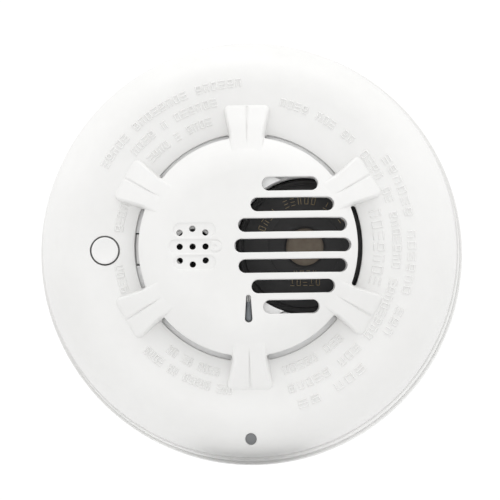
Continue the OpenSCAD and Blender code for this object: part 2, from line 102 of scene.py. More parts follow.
def sd_circle(x, y, cx, cy, d):
    return np.hypot(x - cx, y - cy) - d / 2


def sd_drop(x, y, ya, ra, yb, rb):
    """A capsule that widens from (0, ya) to (0, yb)."""
    t = np.clip((y - ya) / (yb - ya), 0, 1)
    return np.hypot(x, y - (ya + t * (yb - ya))) - (ra + t * (rb - ra))


GAP_C, GAP_W, GAP_HALF = (DOME_LIP + RING_IN) / 2, (RING_IN - DOME_LIP) / 2, math.radians(19.75)


def sd_gap(x, y, a):
    r, t = np.hypot(x, y), np.arctan2(y, x) - a
    t = np.abs((t + math.pi) % TAU - math.pi)
    ex, ey = GAP_C * math.cos(GAP_HALF), GAP_C * math.sin(GAP_HALF)
    far = np.hypot(r * np.cos(t) - ex, r * np.sin(t) - ey)
    return np.where(t <= GAP_HALF, np.abs(r - GAP_C), far) - GAP_W


def lug_frame(x, y, a):
    return x * math.cos(a) + y * math.sin(a), -x * math.sin(a) + y * math.cos(a)


LUG_ROUND = 1.9
LUG_POLY = [(29.0, -4.35 + LUG_ROUND), (LUG_R1 - LUG_ROUND, -7.65 + LUG_ROUND),
            (LUG_R1 - LUG_ROUND, 7.65 - LUG_ROUND), (29.0, 4.35 - LUG_ROUND)]


def sd_poly(x, y, pts):
    d = np.full(np.shape(x), 1e9)
    sign = np.ones(np.shape(x))
    n = len(pts)
    for i in range(n):
        (ax, ay), (bx, by) = pts[i], pts[i - 1]
        ex, ey, wx, wy = bx - ax, by - ay, x - ax, y - ay
        t = np.clip((wx * ex + wy * ey) / (ex * ex + ey * ey), 0, 1)
        d = np.minimum(d, (wx - t * ex) ** 2 + (wy - t * ey) ** 2)
        c1, c2, c3 = y >= ay, y < by, ex * wy > ey * wx
        flip = (c1 & c2 & c3) | (~c1 & ~c2 & ~c3)
        sign = np.where(flip, -sign, sign)
    return sign * np.sqrt(d)


def sd_lug(x, y, a):
    u, v = lug_frame(x, y, a)
    return sd_poly(u, v, LUG_POLY) - LUG_ROUND


SLOT_L = [18.8, 28, 36.5, 39.2, 36.5, 28, 18.8]
SLOTS = [(14.4 if i in (0, 6) else 15.1, 0.1 + (i - 3) * 6.9, l, 4.6) for i, l in enumerate(SLOT_L)]
INLETS = [(-18.55 + c * 4.34, w * (6.0 if c == 0 else 4.7)) for c in (-1, 0, 1) for w in (-1, 0, 1)]
PILLS = [(-17.9, 5.6, 14.5, 4.95), (-17.7, 0.0, 18.2, 4.9), (-17.9, -5.4, 14.5, 4.95)]
GAPS = [math.radians(60 * k) for k in range(6)]
LUGS = [math.radians(30 + 60 * k) for k in range(6)]


def holes():
    """Each hole: (distance function of x and y, lip radius)."""
    out = [((lambda x, y, p=p: sd_pill(x, y, *p)), 0.4) for p in SLOTS]
    out += [((lambda x, y, p=p: sd_circle(x, y, p[0], p[1], 2.1)), 0.18) for p in INLETS]
    out += [((lambda x, y: sd_drop(x, y, -17.3, 0.78, -24.5, 1.25)), 0.4)]
    out += [((lambda x, y, a=a: sd_gap(x, y, a)), 0.35) for a in GAPS]
    out += [((lambda x, y: sd_circle(x, y, -BUTTON_X, BUTTON_Y, 10.0)), 0.35)]
    out += [((lambda x, y: sd_circle(x, y, 0, -LIGHT_Y, 3.8)), 0.35)]
    return out


HOLES = holes()


def lug_top(r):
    a = dome_h(LUG_R0) - 0.32 * (r - LUG_R0)
    b = dome_h(LUG_R0) - 0.32 * 8.3 - 0.47 * (r - LUG_R0 - 8.3)
    k = 0.25
    h = np.clip(0.5 + (b - a) / (2 * k), 0, 1)      # smooth minimum: the top bends down past r 41
    return b * (1 - h) + a * h - k * h * (1 - h)


def relief(x, y):
    """Height above the plain cover, from the lugs and the shallow pills of the inlet grille."""
    r = np.hypot(x, y)
    base = prof(s_of(r))[1]
    out = np.zeros(np.shape(x))
    near = (r > 30) & (r < 49.5)
    if np.any(near):
        xn, yn, rn, bn = x[near], y[near], r[near], base[near]
        add = np.zeros(xn.shape)
        for a in LUGS:
            u, v = lug_frame(xn, yn, a)
            d = -sd_lug(xn, yn, a)
            t = np.clip(d / 1.25, 0, 1)
            side = np.sqrt(np.clip(1 - (1 - t) ** 2, 0, 1))
            up = np.clip(lug_top(u) - bn, 0, None)
            up = np.where(rn < LUG_R0 - 1, 0, up)
            half = 0.05 + 0.66 * np.clip((u - 33.8) / 13.2, 0, 1)
            g = np.clip(1 - np.abs(v) / half, 0, 1)
            deep = 0.66 * np.clip((u - 33.8) / 6, 0, 1) ** 0.7 * smooth((LUG_R1 - 0.6 - u) / 0.5 + 1)
            add = np.maximum(add, np.where(d > 0, up * side - g * deep * np.clip(up / 1.0, 0, 1), 0))
        out[near] = add
    for i, p in enumerate(PILLS):
        d = -sd_pill(x, y, *p)
        out = out - 0.3 * smooth((d + 0.05) / 0.35)
    # the raised end of the middle pill, with its dimple
    d = -sd_pill(x, y, -10.9, 0.0, 4.6, 3.6)
    out = out + 0.34 * smooth(d / 0.35) * smooth((x + 12.6) / 0.35)
    out = out - 0.25 * smooth((0.75 - np.hypot(x + 11.0, y)) / 0.4)
    return out


def surface(u, v):
    """Points of the outer skin at unrolled plan coordinates u, v, and the plan coordinates x, y."""
    s = np.hypot(u, v)
    r, z = prof(s)
    safe = np.where(s > 1e-9, s, 1)
    x, y = u / safe * r, v / safe * r
    z = z + np.where(s < RC, relief(x, y), 0)
    # rounded lips
    for f, R in HOLES:
        d = f(x, y)
        hit = (d < R)
        if np.any(hit):
            dd = np.clip(d[hit], 0, R)
            z[hit] = z[hit] - (R - np.sqrt(np.clip(R * R - (R - dd) ** 2, 0, None)))
    return np.stack([x, y, z], -1)


def normals(u, v, e=0.04):
    a = surface(u + e, v) - surface(u - e, v)
    b = surface(u, v + e) - surface(u, v - e)
    n = np.cross(a, b)
    return n / np.maximum(np.linalg.norm(n, axis=1, keepdims=True), 1e-12)


def plain_point(u, v):
    s = np.hypot(u, v)
    r, z = prof(np.minimum(s, S_END - 0.6))
    z = z - np.clip(s - (S_END - 0.6), 0, None)
    safe = np.where(s > 1e-9, s, 1)
    return np.stack([u / safe * r, v / safe * r, z], -1)


def plain_normal(u, v):
    s = np.hypot(u, v)
    phi = np.clip((s - RC) / SHOULDER, 0, math.pi / 2)
    slope = np.where(s < GAP_C, np.where(s > DOME_FLAT, 2 * DOME_FALL * (s - DOME_FLAT) / (DOME_LIP - DOME_FLAT) ** 2, 0), 0)
    ang = np.where(s < RC, np.arctan(slope) * 0.6, phi)
    safe = np.where(s > 1e-9, s, 1)
    return np.stack([u / safe * np.sin(ang), v / safe * np.sin(ang), np.cos(ang)], -1)


# ---------------------------------------------------------------- outline loops
def loop_pill(cx, cy, l, h, off, step):
    r, half = h / 2 + off, (l - h) / 2
    n1, n2 = max(2, int(2 * half / step)), max(8, int(math.pi * r / step))
    pts = [(cx - half + 2 * half * i / n1, cy - r) for i in range(n1)]
    pts += [(cx + half + r * math.sin(math.pi * i / n2), cy - r * math.cos(math.pi * i / n2)) for i in range(n2)]
    pts += [(cx + half - 2 * half * i / n1, cy + r) for i in range(n1)]
    pts += [(cx - half - r * math.sin(math.pi * i / n2), cy + r * math.cos(math.pi * i / n2)) for i in range(n2)]
    return pts


def loop_circle(cx, cy, d, off, n):
    r = d / 2 + off
    return [(cx + r * math.cos(TAU * i / n), cy + r * math.sin(TAU * i / n)) for i in range(n)]


def loop_drop(off, n=14):
    ra, rb = 0.78 + off, 1.25 + off
    pts = [(-ra * math.cos(math.pi * i / n), -17.3 + ra * math.sin(math.pi * i / n)) for i in range(n + 1)]
    pts += [(ra + (rb - ra) * i / n, -17.3 - 7.2 * i / n) for i in range(1, n)]
    pts += [(rb * math.cos(math.pi * i / n), -24.5 - rb * math.sin(math.pi * i / n)) for i in range(n + 1)]
    pts += [(-rb + (rb - ra) * i / n, -24.5 + 7.2 * i / n) for i in range(1, n)]
    return pts


def loop_gap(a, off):
    w = GAP_W + off
    n1, n2 = 56, max(8, int(math.pi * w / 0.22))
    pts = []
    for i in range(n1):
        t = -GAP_HALF + 2 * GAP_HALF * i / n1
        pts.append(((GAP_C + w) * math.cos(a + t), (GAP_C + w) * math.sin(a + t)))
    for i in range(n2):
        q = math.pi * i / n2
        rr, tt = w * math.cos(q), w * math.sin(q)
        c, s_ = math.cos(a + GAP_HALF), math.sin(a + GAP_HALF)
        pts.append((GAP_C * c + rr * c - tt * s_, GAP_C * s_ + rr * s_ + tt * c))
    for i in range(n1):
        t = GAP_HALF - 2 * GAP_HALF * i / n1
        pts.append(((GAP_C - w) * math.cos(a + t), (GAP_C - w) * math.sin(a + t)))
    for i in range(n2):
        q = math.pi * i / n2
        rr, tt = -w * math.cos(q), -w * math.sin(q)
        c, s_ = math.cos(a - GAP_HALF), math.sin(a - GAP_HALF)
        pts.append((GAP_C * c + rr * c - tt * s_, GAP_C * s_ + rr * s_ + tt * c))
    return pts


def path_lug(a, off):
    """The open outline of a lug, off outward, from one side of the dome round the outer end to the other."""
    r = LUG_ROUND + off
    (x0, y0), (x1, y1) = LUG_POLY[0], LUG_POLY[1]
    tx, ty = x1 - x0, y1 - y0
    L = math.hypot(tx, ty)
    nx, ny = ty / L, -tx / L                                    # outward normal of the lower side
    ax, ay = x0 + tx * 0.19, y0 + ty * 0.19
    side = [(ax + (x1 - ax) * i / 34 + nx * r, ay + (y1 - ay) * i / 34 + ny * r) for i in range(35)]
    a0 = math.atan2(ny, nx)
    arc = [(x1 + r * math.cos(a0 + (0 - a0) * i / 10), y1 + r * math.sin(a0 + (0 - a0) * i / 10)) for i in range(1, 11)]
    end = [(x1 + r, y1 + (0 - y1) * i / 14) for i in range(1, 15)]
    low = side + arc + end
    pts = low + [(p[0], -p[1]) for p in reversed(low[:-1])]
    c, s_ = math.cos(a), math.sin(a)
    return [(p[0] * c - p[1] * s_, p[0] * s_ + p[1] * c) for p in pts]


class Net:
    """Collects constraint loops and fill points in unrolled plan coordinates."""

    def __init__(self):
        self.pts, self.edges = [], []

    def add(self, pts, closed=True, unroll=True):
        first = len(self.pts)
        for x, y in pts:
            if unroll:
                r = math.hypot(x, y)
                k = float(s_of(r)) / r if r > 1e-9 else 1
                x, y = x * k, y * k
            self.pts.append((x, y))
        n = len(pts)
        self.edges += [(first + i, first + i + 1) for i in range(n - 1)]
        if closed:
            self.edges.append((first + n - 1, first))


def fracs(R):
    return [0, 0.03 * R, 0.12 * R, 0.3 * R, 0.6 * R, R]


def cover_mesh():
    net = Net()
    for p in SLOTS:
        for off in fracs(0.4):
            net.add(loop_pill(*p, off, 0.9))
    for p in INLETS:
        for off in fracs(0.18):
            net.add(loop_circle(p[0], p[1], 2.1, off, 28))
    for off in fracs(0.4):
        net.add(loop_drop(off))
    for a in GAPS:
        for off in fracs(0.35):
            net.add(loop_gap(a, off))
    for off in fracs(0.35):
        net.add(loop_circle(-BUTTON_X, BUTTON_Y, 10.0, off, 72))
    for off in fracs(0.35):
        net.add(loop_circle(0, -LIGHT_Y, 3.8, off, 48))
    for a in LUGS:
        for off in (0.06, 0, -0.02, -0.1, -0.25, -0.5, -0.85, -1.25):
            net.add(path_lug(a, off), closed=False)
        c, s_ = math.cos(a), math.sin(a)
        for k in (-1, -0.5, 0, 0.5, 1):
            line = []
            for i in range(27):
                u = 33.8 + (LUG_R1 - 1.3 - 33.8) * i / 26
                v = k * (0.05 + 0.82 * min(1, (u - 33.8) / 13.2))
                line.append((u * c - v * s_, u * s_ + v * c))
            net.add(line, closed=False)
    for p in PILLS:
        for off in (0.05, -0.08, -0.3):
            net.add(loop_pill(*p, off, 0.6))
    # fill points on rings, away from the loops
    fill = []
    radii = list(np.arange(1.2, 25, 1.7)) + list(np.arange(25.2, 36.3, 0.62)) + list(np.arange(39.1, RC, 1.0))
    radii += list(np.arange(RC, S_SIDE, 0.8)) + list(np.arange(S_SIDE, S_END - 0.7, 1.5))
    for k, s in enumerate(radii):
        n = int(TAU * min(s, 74) / (1.25 if s < S_SIDE else 1.6))
        for i in range(n):
            t = TAU * (i + 0.5 * (k % 2)) / n
            fill.append((s * math.cos(t), s * math.sin(t)))
    fill = np.array(fill)
    s = np.hypot(fill[:, 0], fill[:, 1])
    r, _ = prof(s)
    x, y = fill[:, 0] / s * r, fill[:, 1] / s * r
    keep = np.ones(len(fill), bool)
    for f, R in HOLES:
        keep &= f(x, y) > R + 0.35
    for a in LUGS:
        d = sd_lug(x, y, a)
        u, v = lug_frame(x, y, a)
        near_edge = (d < 0.45) & (d > -1.6) & (u > 30.5)
        groove = (np.abs(v) < 1.1) & (u > 33.3) & (u < 48)
        keep &= ~(near_edge | groove)
    for p in PILLS:
        d = sd_pill(x, y, *p)
        keep &= ~((d < 0.45) & (d > -0.7))
    # a finer field inside the shallow pills' raised end
    fine = np.array([(a, b) for a in np.arange(-13.4, -8.6, 0.28) for b in np.arange(-2.1, 2.2, 0.28)])
    pts = net.pts + [tuple(p) for p in fill[keep]] + [tuple(p) for p in fine]
    n = 440
    for k, off in enumerate((0, 0.03, 0.1, 0.25, 0.6)):
        first = len(pts)
        pts += [((S_END - off) * math.cos(TAU * (i + 0.5 * (k % 2)) / n), (S_END - off) * math.sin(TAU * (i + 0.5 * (k % 2)) / n)) for i in range(n)]
        net.edges += [(first + i, first + (i + 1) % n) for i in range(n)]
    vs, _, fs, _, _, _ = delaunay_2d_cdt([Vector(p) for p in pts], net.edges, [], 0, 1e-6)
    V = np.array([(p.x, p.y) for p in vs])
    F = np.array([tuple(f) for f in fs])
    # orient upward and drop what lies in the holes
    c = V[F].mean(axis=1)
    s = np.hypot(c[:, 0], c[:, 1])
    r, _ = prof(s)
    x, y = c[:, 0] / s * r, c[:, 1] / s * r
    keep = np.ones(len(F), bool)
    for f, R in HOLES:
        keep &= f(x, y) > 0
    F = F[keep]
    a, b, d = V[F[:, 0]], V[F[:, 1]], V[F[:, 2]]
    area = (b[:, 0] - a[:, 0]) * (d[:, 1] - a[:, 1]) - (b[:, 1] - a[:, 1]) * (d[:, 0] - a[:, 0])
    F = F[np.abs(area) > 1e-9]
    area = area[np.abs(area) > 1e-9]
    F[area < 0] = F[area < 0][:, ::-1]
    used = np.unique(F)
    remap = -np.ones(len(V), int)
    remap[used] = np.arange(len(used))
    V, F = V[used], remap[F]
    # boundary edges
    E = np.concatenate([F[:, [0, 1]], F[:, [1, 2]], F[:, [2, 0]]])
    key = E[:, 0].astype(np.int64) * len(V) + E[:, 1]
    rev = E[:, 1].astype(np.int64) * len(V) + E[:, 0]
    B = E[~np.isin(key, rev)]
    u, v = V[:, 0], V[:, 1]
    P = surface(u, v)
    N = normals(u, v)
    Q = plain_point(u, v) - THICK * plain_normal(u, v)
    QN = -plain_normal(u, v)
    # wall normals at the boundary
    bv = np.unique(B)
    bx, by = P[bv, 0], P[bv, 1]
    WN = np.zeros((len(V), 3))
    best = np.full(len(bv), 1e9)
    wn = np.zeros((len(bv), 3))
    for f, R in HOLES:
        d = np.abs(f(bx, by))
        g = np.stack([f(bx + 0.02, by) - f(bx - 0.02, by), f(bx, by + 0.02) - f(bx, by - 0.02)], -1)
        g /= np.maximum(np.linalg.norm(g, axis=1, keepdims=True), 1e-9)
        hit = d < best
        best[hit] = d[hit]
        wn[hit, 0], wn[hit, 1], wn[hit, 2] = -g[hit, 0], -g[hit, 1], 0
    edge = np.hypot(V[bv, 0], V[bv, 1]) > S_END - 0.01
    wn[edge] = (0, 0, -1)
    WN[bv] = wn
    N[bv] = np.where(edge[:, None], np.array([0, 0, -1.0]), wn)
    n = len(V)
    verts = np.concatenate([P, Q])
    walls = np.stack([B[:, 1], B[:, 0], B[:, 0] + n, B[:, 1] + n], -1)
    faces = [tuple(f) for f in F] + [tuple(f[::-1] + n) for f in F] + [tuple(w) for w in walls]
    ln = np.concatenate([N[F].reshape(-1, 3), QN[F[:, ::-1]].reshape(-1, 3),
                         np.stack([WN[walls[:, 0]], WN[walls[:, 1]], WN[walls[:, 1]], WN[walls[:, 0]]], 1).reshape(-1, 3)])
    return verts, faces, ln


def upright(v):
    """Local millimetres (x right, y up, z to the room) to the row's metres."""
    v = np.asarray(v, float)
    return np.stack([v[:, 0], -v[:, 2], v[:, 1]], -1)


def make(name, verts, faces, body, material, loop_normals=None, smooth_shade=True, mm=True):
    me = bpy.data.meshes.new(name)
    pts = upright(verts) * 0.001 if mm else verts
    me.from_pydata([tuple(map(float, p)) for p in pts], [], [tuple(int(i) for i in f) for f in faces])
    me.validate()
    ob = bpy.data.objects.new(name, me)
    bpy.context.scene.collection.objects.link(ob)
    if smooth_shade:
        me.shade_smooth()
    if loop_normals is not None and len(loop_normals) == len(me.loops):
        nn = upright(loop_normals)
        nn /= np.maximum(np.linalg.norm(nn, axis=1, keepdims=True), 1e-12)
        me.normals_split_custom_set([tuple(map(float, p)) for p in nn])
    me.materials.append(material)
    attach(ob, body)
    return ob


# ---------------------------------------------------------------- materials
def nodes_of(name):
    m = bpy.data.materials.new(name)
    m.use_nodes = True
    nt = m.node_tree
    return m, nt, nt.nodes["Principled BSDF"]


def noise(nt, scale, detail=3.0, rough=0.55, coord=None):
    tc = nt.nodes.new("ShaderNodeTexCoord") if coord is None else coord
    n = nt.nodes.new("ShaderNodeTexNoise")
    n.inputs["Scale"].default_value = scale
    n.inputs["Detail"].default_value = detail
    n.inputs["Roughness"].default_value = rough
    nt.links.new(tc.outputs["Object"], n.inputs["Vector"])
    return n, tc


def ramp(nt, source, lo, hi, c0, c1):
    r = nt.nodes.new("ShaderNodeValToRGB")
    r.color_ramp.elements[0].position, r.color_ramp.elements[1].position = lo, hi
    r.color_ramp.elements[0].color, r.color_ramp.elements[1].color = (*c0, 1), (*c1, 1)
    nt.links.new(source, r.inputs["Fac"])
    return r


def span(nt, source, a, b, c, d):
    m = nt.nodes.new("ShaderNodeMapRange")
    for k, v in zip(("From Min", "From Max", "To Min", "To Max"), (a, b, c, d)):
        m.inputs[k].default_value = v
    nt.links.new(source, m.inputs["Value"])
    return m


def bump(nt, bsdf, layers):
    last = None
    for source, strength, distance in layers:
        b = nt.nodes.new("ShaderNodeBump")
        b.inputs["Strength"].default_value = strength
        b.inputs["Distance"].default_value = distance
        nt.links.new(source, b.inputs["Height"])
        if last:
            nt.links.new(last.outputs["Normal"], b.inputs["Normal"])
        last = b
    nt.links.new(last.outputs["Normal"], bsdf.inputs["Normal"])


def plastic(name, c0, c1, rough=(0.36, 0.46), grain=2600.0, grain_h=0.00002, spec=0.45, wave=True, sss=0.0):
    """Moulded plastic: faint tone changes, a fine spark-eroded grain and a slow sink-mark wave."""
    m, nt, b = nodes_of(name)
    big, tc = noise(nt, 26.0, 3.0)
    fine, _ = noise(nt, grain, 2.0, 0.5, tc)
    mid, _ = noise(nt, 240.0, 4.0, 0.6, tc)
    mix = nt.nodes.new("ShaderNodeMath")
    mix.operation = "MULTIPLY_ADD"
    nt.links.new(mid.outputs["Fac"], mix.inputs[0])
    mix.inputs[1].default_value = 0.35
    nt.links.new(big.outputs["Fac"], mix.inputs[2])
    col = ramp(nt, mix.outputs[0], 0.45, 0.9, c0, c1)
    nt.links.new(col.outputs["Color"], b.inputs["Base Color"])
    rr = span(nt, mid.outputs["Fac"], 0.3, 0.7, *rough)
    nt.links.new(rr.outputs["Result"], b.inputs["Roughness"])
    b.inputs["Specular IOR Level"].default_value = spec
    if sss:
        b.inputs["Subsurface Weight"].default_value = sss
        b.inputs["Subsurface Radius"].default_value = (1.0, 0.9, 0.8)
        b.inputs["Subsurface Scale"].default_value = 0.0012
    layers = [(fine.outputs["Fac"], 0.35, grain_h)]
    if wave:
        layers.append((big.outputs["Fac"], 0.25, 0.0001))
    bump(nt, b, layers)
    return m


def metal(name, c0, c1, rough=(0.25, 0.4), scale=900.0, stretch=(1, 1, 14)):
    m, nt, b = nodes_of(name)
    tc = nt.nodes.new("ShaderNodeTexCoord")
    mp = nt.nodes.new("ShaderNodeMapping")
    mp.inputs["Scale"].default_value = stretch
    nt.links.new(tc.outputs["Object"], mp.inputs["Vector"])
    n = nt.nodes.new("ShaderNodeTexNoise")
    n.inputs["Scale"].default_value = scale
    n.inputs["Detail"].default_value = 4
    nt.links.new(mp.outputs["Vector"], n.inputs["Vector"])
    col = ramp(nt, n.outputs["Fac"], 0.3, 0.7, c0, c1)
    nt.links.new(col.outputs["Color"], b.inputs["Base Color"])
    b.inputs["Metallic"].default_value = 1.0
    rr = span(nt, n.outputs["Fac"], 0.3, 0.7, *rough)
    nt.links.new(rr.outputs["Result"], b.inputs["Roughness"])
    bump(nt, b, [(n.outputs["Fac"], 0.2, 0.00003)])
    return m


MATS = {
    "cover_plastic": plastic("cover_plastic", (0.80, 0.797, 0.785), (0.84, 0.838, 0.828)),
    "base_plastic": plastic("base_plastic", (0.84, 0.838, 0.825), (0.88, 0.877, 0.868), rough=(0.42, 0.55)),
    "shroud_plastic": plastic("shroud_plastic", (0.88, 0.88, 0.878), (0.91, 0.91, 0.908), rough=(0.5, 0.62)),
    "black_plastic": plastic("black_plastic", (0.016, 0.016, 0.017), (0.035, 0.034, 0.034), rough=(0.48, 0.66), grain=1500.0, grain_h=0.00007),
    "dark_cap": plastic("dark_cap", (0.05, 0.05, 0.052), (0.09, 0.09, 0.09), rough=(0.5, 0.6)),
    "button_plastic": plastic("button_plastic", (0.81, 0.807, 0.797), (0.85, 0.847, 0.84), rough=(0.3, 0.4)),
    "lens_smoke": plastic("lens_smoke", (0.165, 0.17, 0.175), (0.205, 0.21, 0.215), rough=(0.12, 0.22), grain_h=0.000004, spec=0.6),
    "led_plastic": plastic("led_plastic", (0.45, 0.62, 0.45), (0.55, 0.72, 0.53), rough=(0.1, 0.18), grain_h=0.000004),
    "board_laminate": plastic("board_laminate", (0.015, 0.11, 0.045), (0.03, 0.17, 0.07), rough=(0.28, 0.42), grain=900.0),
    "chip_black": plastic("chip_black", (0.014, 0.014, 0.015), (0.03, 0.03, 0.03), rough=(0.45, 0.6)),
    "chip_tan": plastic("chip_tan", (0.32, 0.24, 0.15), (0.45, 0.35, 0.22), rough=(0.35, 0.5)),
    "tinned_metal": metal("tinned_metal", (0.62, 0.62, 0.6), (0.74, 0.74, 0.72)),
    "gold_pins": metal("gold_pins", (0.75, 0.55, 0.22), (0.85, 0.65, 0.3), rough=(0.18, 0.3)),
    # the horn's diaphragm is painted shade: its brass colour is darkened to a dark brown for the shade it lies in
    # inside the horn
    "diaphragm_brass": metal("diaphragm_brass", (0.17, 0.14, 0.11), (0.25, 0.215, 0.175), rough=(0.45, 0.6), scale=300.0, stretch=(1, 1, 1)),
    "ochre_ink": plastic("ochre_ink", (0.22, 0.17, 0.10), (0.30, 0.24, 0.14), rough=(0.5, 0.65), grain_h=0.000004),
    "foam_grey": plastic("foam_grey", (0.07, 0.07, 0.072), (0.13, 0.13, 0.13), rough=(0.8, 0.95), grain=700.0, grain_h=0.0003),
    "cap_sleeve": plastic("cap_sleeve", (0.01, 0.016, 0.06), (0.02, 0.03, 0.11), rough=(0.2, 0.3), grain_h=0.000004),
    "copper_winding": metal("copper_winding", (0.5, 0.2, 0.07), (0.68, 0.32, 0.14), rough=(0.25, 0.4), scale=200.0, stretch=(1, 30, 1)),
    "battery_sleeve": metal("battery_sleeve", (0.36, 0.37, 0.38), (0.5, 0.5, 0.51), rough=(0.28, 0.4)),
    "spring_steel": metal("spring_steel", (0.5, 0.5, 0.5), (0.62, 0.62, 0.61)),
    "screw_steel": metal("screw_steel", (0.5, 0.5, 0.49), (0.66, 0.66, 0.64)),
    "label_paper": plastic("label_paper", (0.70, 0.70, 0.68), (0.76, 0.76, 0.75), rough=(0.6, 0.75), grain=1200.0),
    "probe_epoxy": plastic("probe_epoxy", (0.17, 0.185, 0.20), (0.24, 0.255, 0.27), rough=(0.12, 0.2), grain_h=0.000004),
}

# the leads of the temperature probe are tinned, above the end of its bead
pm = MATS["probe_epoxy"]
pt = pm.node_tree
pb = next(n for n in pt.nodes if n.type == "BSDF_PRINCIPLED")
old = pb.inputs["Base Color"].links[0].from_socket
ptc = pt.nodes.new("ShaderNodeTexCoord")
psx = pt.nodes.new("ShaderNodeSeparateXYZ")
pt.links.new(ptc.outputs["Object"], psx.inputs["Vector"])
pk = span(pt, psx.outputs["Z"], -0.01872, -0.01862, 0.0, 1.0)
px_ = pt.nodes.new("ShaderNodeMix")
px_.data_type = "RGBA"
pt.links.new(pk.outputs["Result"], px_.inputs[0])
pt.links.new(old, px_.inputs[6])
px_.inputs[7].default_value = (0.72, 0.72, 0.71, 1)
pt.links.new(px_.outputs[2], pb.inputs["Base Color"])

SLOT_OF = {s["node"]: s["material_slot"] for s in frame["record"]["subparts"]}
for name, ob in NODES.items():
    mat = MATS[SLOT_OF[name]]
    if len(ob.material_slots) == 0:
        ob.data.materials.append(mat)
    for ms in ob.material_slots:
        ms.material = mat

# rounded edges on the moulded and turned CAD pieces that show
BEVEL = {"mounting_base": 0.2, "rear_housing": 0.12, "inner_shroud": 0.3, "battery_door": 0.25,
         "co_cell_can": 0.3, "co_cell_cap": 0.25, "housing_screws": 0.15, "light_pipe": 0.2}
for name, width in BEVEL.items():
    ob = NODES[name]
    w = ob.modifiers.new("weld", "WELD")
    w.merge_threshold = 0.000004
    d = ob.modifiers.new("planar", "DECIMATE")
    d.decimate_type = "DISSOLVE"
    d.angle_limit = math.radians(0.4)
    b = ob.modifiers.new("edge", "BEVEL")
    b.width = width * 0.001
    b.segments = 3
    b.limit_method = "ANGLE"
    b.angle_limit = math.radians(40)
    b.harden_normals = False
    b.use_clamp_overlap = True

# ---------------------------------------------------------------- the front cover
verts, faces, ln = cover_mesh()
cover = make("cover_skin", verts, faces, "head", MATS["cover_plastic"], ln)
print("cover", len(verts), len(faces), "custom normals", len(ln) == len(cover.data.loops))

# the three posts that the housing screws enter
pv, pf = [], []
for a in (90, 210, 330):
    cx, cy = 59.5 * math.cos(math.radians(a)), 59.5 * math.sin(math.radians(a))
    rings = [(1.5, 24.0), (1.5, 10.6), (3.0, 10.6), (3.2, 10.8), (3.25, 30.0), (3.5, 41.2)]
    first, n = len(pv), 40
    for r, z in rings:
        pv += [(cx + r * math.cos(TAU * i / n), cy + r * math.sin(TAU * i / n), z) for i in range(n)]
    for k in range(len(rings) - 1):
        pf += [(first + k * n + i, first + k * n + (i + 1) % n, first + (k + 1) * n + (i + 1) % n, first + (k + 1) * n + i) for i in range(n)]
    pf.append(tuple(first + i for i in range(n)))
    pf.append(tuple(first + (len(rings) - 1) * n + i for i in reversed(range(n))))
posts = make("cover_posts", np.array(pv), pf, "head", MATS["cover_plastic"])
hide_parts("front_cover")


# ---------------------------------------------------------------- rounded pieces
def lathe(profile, cx, cy, n=96, close=True):
    """A turned solid from (radius, z) points; radius 0 ends in a point on the axis."""
    v, f, rows = [], [], []
    for r, z in profile:
        if r < 1e-6:
            rows.append([len(v)])
            v.append((cx, cy, z))
        else:
            rows.append(list(range(len(v), len(v) + n)))
            v += [(cx + r * math.cos(TAU * i / n), cy + r * math.sin(TAU * i / n), z) for i in range(n)]
    pairs = list(zip(rows[:-1], rows[1:])) + ([(rows[-1], rows[0])] if close and len(rows[0]) > 1 and len(rows[-1]) > 1 else [])
    for a, b in pairs:
        for i in range(n):
            j = (i + 1) % n
            if len(a) == 1 and len(b) == 1:
                continue
            if len(a) == 1:
                f.append((a[0], b[j], b[i]))
            elif len(b) == 1:
                f.append((a[i], a[j], b[0]))
            else:
                f.append((a[i], a[j], b[j], b[i]))
    return v, f


def fillet(points, radii, steps=5):
    """Rounds the corners of a polyline of (r, z) points."""
    out = []
    for i, p in enumerate(points):
        R = radii[i] if i < len(radii) else 0
        if not R or i in (0, len(points) - 1):
            out.append(p)
            continue
        a, b = np.array(points[i - 1], float) - p, np.array(points[i + 1], float) - p
        la, lb = np.linalg.norm(a), np.linalg.norm(b)
        a, b = a / la, b / lb
        half = math.acos(max(-1, min(1, float(np.dot(a, b))))) / 2
        d = min(R / math.tan(half), la * 0.49, lb * 0.49)
        p0, p1 = np.array(p) + a * d, np.array(p) + b * d
        for k in range(steps + 1):
            t = k / steps
            out.append(tuple((1 - t) ** 2 * p0 + 2 * t * (1 - t) * np.array(p, float) + t * t * p1))
    return out


def rbox(x0, x1, y0, y1, z0, z1, r, seg=3):
    bm = bmesh.new()
    bmesh.ops.create_cube(bm, size=1)
    for v in bm.verts:
        v.co = Vector(((x0 + x1) / 2 + v.co.x * (x1 - x0), (y0 + y1) / 2 + v.co.y * (y1 - y0), (z0 + z1) / 2 + v.co.z * (z1 - z0)))
    bmesh.ops.bevel(bm, geom=bm.edges[:], offset=r, segments=seg, profile=0.5, affect="EDGES")
    bm.verts.ensure_lookup_table()
    v = [tuple(q.co) for q in bm.verts]
    f = [tuple(q.index for q in p.verts) for p in bm.faces]
    bm.free()
    return v, f


def turn(vf, axis, centre):
    """Turns a z-axis solid so that it runs along y, about a centre."""
    v, f = vf
    out = []
    for x, y, z in v:
        out.append((x + centre[0], z + centre[1], -y + centre[2]) if axis == "y" else (z + centre[0], y + centre[1], -x + centre[2]))
    return out, f


def join(parts):
    V, F = [], []
    for v, f in parts:
        n = len(V)
        V += list(v)
        F += [tuple(i + n for i in q) for q in f]
    return np.array(V, float), F


def soft_edges(ob, angle=32):
    """Smooth faces, but crisp where they meet sharply."""
    bm = bmesh.new()
    bm.from_mesh(ob.data)
    for e in bm.edges:
        e.smooth = not (len(e.link_faces) == 2 and e.calc_face_angle(0) > math.radians(angle))
    bm.to_mesh(ob.data)
    bm.free()
    return ob


